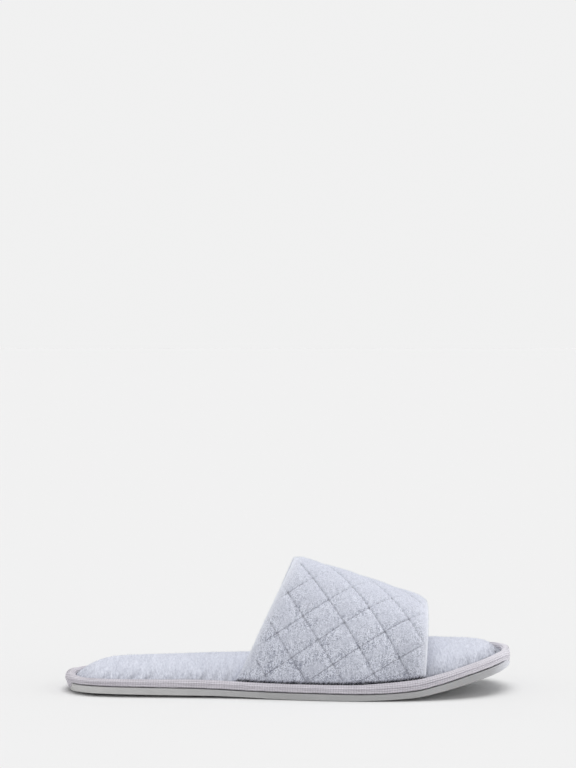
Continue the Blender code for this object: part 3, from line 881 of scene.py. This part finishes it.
LOOP_WEIGHT = 0.35  # of the loops in the lining's tone, beside its fuzz
LINING_RANGE = (0.4, 1.1)  # from dark to light, in their sum
knit, node, into, finish = new_material("knitted_lining")
where = node("TexCoord").outputs["Object"]
wales = ripple(node, "around", LINING_WALE)
courses = ripple(node, "along", LINING_COURSE)
loops = weighed(node, courses, COURSE_WEIGHT, wales)
fuzz = node("TexNoise", Vector=where, Scale=900.0, Detail=3.0).outputs["Fac"]
shade = ranged(node, weighed(node, loops, LOOP_WEIGHT, fuzz), LINING_RANGE, UNIT_RANGE)
into("Base Color", blend(node, shade, LINING_DARK, LINING_LIGHT))
into("Normal", node("Bump", Strength=0.4, Distance=0.0003, Height=loops).outputs["Normal"])
finish(Roughness=0.9, Specular_IOR_Level=0.1, Sheen_Weight=0.15)
upper.data.materials.append(knit)
lined = np.zeros(len(upper.data.vertices))
upper.data.attributes["lined"].data.foreach_get("value", lined)
for quad in upper.data.polygons:
    quad.material_index = int(lined[list(quad.vertices)].min() > 0.5)

# Upper pile: fibre ends of the band's velour, which soften its edges and hang over the dark seam at its foot.
# They stand thickest where the velour is folded over, at the front and the back hem.
FOLD_ROWS = 5  # rows of each fold that the band's own pile goes on to
HEM_ROWS = 6  # rows of the face that the hems' pile starts on
UPPER_SEED = 22
PILE = (  # name, part of the band, count, lean
    ("upper_pile", np.concatenate([back_fold[-FOLD_ROWS:], face, front_fold[:FOLD_ROWS]]),
     40000, (0.0, 0.0, -0.25)),
    ("front_hem_pile", np.concatenate([face[-HEM_ROWS:], front_fold]), 4000, (0.3, 0.0, 0.2)),
    ("back_hem_pile", np.concatenate([back_fold, face[:HEM_ROWS]]), 4000, (-0.3, 0.0, 0.2)),
)
for seed, (name, grid, count, lean) in enumerate(PILE, start=UPPER_SEED):
    dressed(fibres(name, grid, count, lean, seed), pile)

# Quilting thread: single stitches of thin grey thread, sunk in the valleys that they pull between the pads,
# on the face and on the lining.
STITCH_LENGTH = 2.4
THREAD = 0.37
STITCH_SINK = (-0.06, 0.08)  # how deep a stitch lies, from one to another
RISING_SINK = 0.25  # how much deeper the rising lines lie where they don't show
STITCH_SIDES = 6
HEM_MARGIN = 2.8
LEAST_POINTS = 3  # a line of fewer is left out
CLEAR = 0.99  # share of a stitch's place that has to be clear of hems and seam


def stitch_line(level, pattern):
    """Places on the band, in steps and turns, of one line of stitches."""
    steps = np.arange(BAND_STEPS + 1)
    found = []
    for k in range(BAND_TURNS + 1):
        if pattern[0, k] < level < pattern[-1, k]:
            found.append((np.interp(level, pattern[:, k], steps), k))
    return np.array(found)


def at_places(grid, place):
    """Values of a grid at places given in steps and turns."""
    i = np.minimum(place[:, 0].astype(int), BAND_STEPS - 1)
    k = np.minimum(place[:, 1].astype(int), BAND_TURNS - 1)
    u = (place[:, 0] - i).reshape((-1,) + (1,) * (grid.ndim - 2))
    w = (place[:, 1] - k).reshape((-1,) + (1,) * (grid.ndim - 2))
    here = grid[i, k] * (1 - u) + grid[i + 1, k] * u
    beside = grid[i, k + 1] * (1 - u) + grid[i + 1, k + 1] * u
    return here * (1 - w) + beside * w


bm = bmesh.new()
bmesh.ops.create_uvsphere(bm, u_segments=STITCH_SIDES, v_segments=STITCH_SIDES, radius=0.5)
stitch_points = np.array([vert.co for vert in bm.verts])
stitch_faces = np.array([[facet.verts[k % len(facet.verts)].index for k in range(4)] for facet in bm.faces])
bm.free()
half = STITCH_LENGTH / STITCH_PITCH / 2
stitches = []
for surface, side, pattern, other in ((face, 1, falling, rising), (face, 1, rising, falling),
                                      (lining, -1, falling, rising), (lining, -1, rising, falling)):
    for level in range(math.ceil(pattern.min()), math.floor(pattern.max()) + 1):
        line = stitch_line(level, pattern)
        if len(line) < LEAST_POINTS:
            continue
        phase = at_places(other, line) * LINE_GAP / STITCH_PITCH
        if phase[0] > phase[-1]:
            line = line[::-1]
            phase = phase[::-1]
        inward = -side * at_places(outward, line)
        points = at_places(surface, line)
        if pattern is rising:
            points = points + inward * (RISING_SINK * (1 - at_places(hold, line)))[:, None]
        keep = (at_places(to_hem, line) > HEM_MARGIN) & (at_places(to_seam, line) > SEAM_ROLL)
        for centre in np.arange(math.ceil(phase[0]), math.floor(phase[-1])) + 0.5:
            sunk = points + inward * rng.uniform(*STITCH_SINK)
            if np.interp(centre, phase, keep) < CLEAR:
                continue
            tail, head = (np.array([np.interp(end, phase, axis) for axis in sunk.T])
                          for end in (centre - half, centre + half))
            turned = Vector(head - tail).to_track_quat("Z", "Y").to_matrix()
            size = np.array([THREAD, THREAD, np.linalg.norm(head - tail)])
            stitches.append((stitch_points * size) @ np.array(turned).T + (tail + head) / 2)
mesh = bpy.data.meshes.new("quilting_thread")
first = np.arange(len(stitches))[:, None, None] * len(stitch_points)
faces = [list(dict.fromkeys(quad)) for quad in (stitch_faces + first).reshape(-1, 4).tolist()]
mesh.from_pydata(np.concatenate(stitches) * MM + HEEL, [], faces)
mesh.shade_smooth()
thread = placed("quilting_thread", mesh)

THREAD_DARK = (0.16, 0.165, 0.21, 1.0)
THREAD_LIGHT = (0.33, 0.34, 0.41, 1.0)
cotton, node, into, finish = new_material("grey_thread")
where = node("TexCoord").outputs["Object"]
ply = node("TexNoise", Vector=where, Scale=2500.0, Detail=2.0).outputs["Fac"]
into("Base Color", blend(node, ply, THREAD_DARK, THREAD_LIGHT))
finish(Roughness=0.8, Sheen_Weight=0.1)
dressed(thread, cotton)

# Studio: a pale paper floor without a visible edge, one wide soft light overhead, a weaker one from the toe's
# side, dimmer light all round that is stronger from the two ends, and a long lens low over the floor.
FLOOR_REACH = 30.0  # metres to each side
PAPER = (0.80, 0.80, 0.80, 1.0)
BACKDROP = (0.877, 0.877, 0.877, 1.0)
SOFT_LIGHTS = (  # name, strength, spread in degrees, where it comes from
    ("overhead_light", 1.8, 50.0, (0.1, 0.1, 1.0)),
    ("toe_light", 0.36, 40.0, (1.0, -0.2, 0.35)),
)
LOW_FILL = 0.6  # near the horizon
HIGH_FILL = 0.2  # from straight above
HEEL_FILL = 0.35
TOE_FILL = 0.42
FILL_COLOUR = (1.0, 1.0, 1.0, 1.0)
LENS = 100.0
SENSOR = 36.0
CAMERA_PLACE = (129.0, -1241.1, 206.6)
CAMERA_PITCH = 1.338  # degrees down
CAMERA_YAW = 0.027  # degrees to the left

bm = bmesh.new()
bmesh.ops.create_grid(bm, x_segments=1, y_segments=1, size=FLOOR_REACH)
mesh = bpy.data.meshes.new("paper_floor")
bm.to_mesh(mesh)
bm.free()
floor = placed("paper_floor", mesh)
paper, node, into, finish = new_material("pale_paper")
finish(Base_Color=PAPER, Roughness=1.0, Specular_IOR_Level=0.0)
mesh.materials.append(paper)

for name, strength, spread, source in SOFT_LIGHTS:
    lamp = bpy.data.lights.new(name, "SUN")
    lamp.energy = strength
    lamp.angle = math.radians(spread)
    light = placed(name, lamp)
    light.rotation_euler = Vector(source).to_track_quat("Z", "Y").to_euler()

world = bpy.data.worlds.new("studio")
world.use_nodes = True
bpy.context.scene.world = world
tree = world.node_tree
direction = tree.nodes.new("ShaderNodeTexCoord").outputs["Generated"]
parts = tree.nodes.new("ShaderNodeSeparateXYZ")
tree.links.new(direction, parts.inputs[0])


def reckon(operation, *values):
    made = tree.nodes.new("ShaderNodeMath")
    made.operation = operation
    for socket, value in zip(made.inputs, values):
        if isinstance(value, float):
            socket.default_value = value
        else:
            tree.links.new(value, socket)
    return made.outputs[0]


strength = reckon("MULTIPLY_ADD", reckon("POWER", parts.outputs["Z"], 2.0), HIGH_FILL - LOW_FILL, LOW_FILL)
for side, fill in ((1.0, TOE_FILL), (-1.0, HEEL_FILL)):
    facing = reckon("MAXIMUM", reckon("MULTIPLY", parts.outputs["X"], side), 0.0)
    strength = reckon("MULTIPLY_ADD", reckon("POWER", facing, 2.0), fill, strength)
seen = tree.nodes.new("ShaderNodeLightPath").outputs["Is Camera Ray"]
glow = tree.nodes["Background"]
glow.inputs["Color"].default_value = FILL_COLOUR
tree.links.new(strength, glow.inputs["Strength"])
backdrop = tree.nodes.new("ShaderNodeBackground")
backdrop.inputs["Color"].default_value = BACKDROP
choice = tree.nodes.new("ShaderNodeMixShader")
tree.links.new(seen, choice.inputs[0])
tree.links.new(glow.outputs[0], choice.inputs[1])
tree.links.new(backdrop.outputs[0], choice.inputs[2])
tree.links.new(choice.outputs[0], tree.nodes["World Output"].inputs["Surface"])

lens = bpy.data.cameras.new("photo_camera")
lens.lens = LENS
lens.sensor_width = SENSOR
camera = placed("photo_camera", lens)
camera.location = np.array(CAMERA_PLACE) * MM + HEEL
camera.rotation_euler = (math.radians(90.0 - CAMERA_PITCH), 0.0, math.radians(CAMERA_YAW))
bpy.context.scene.camera = camera
bpy.context.scene.view_settings.view_transform = "Standard"
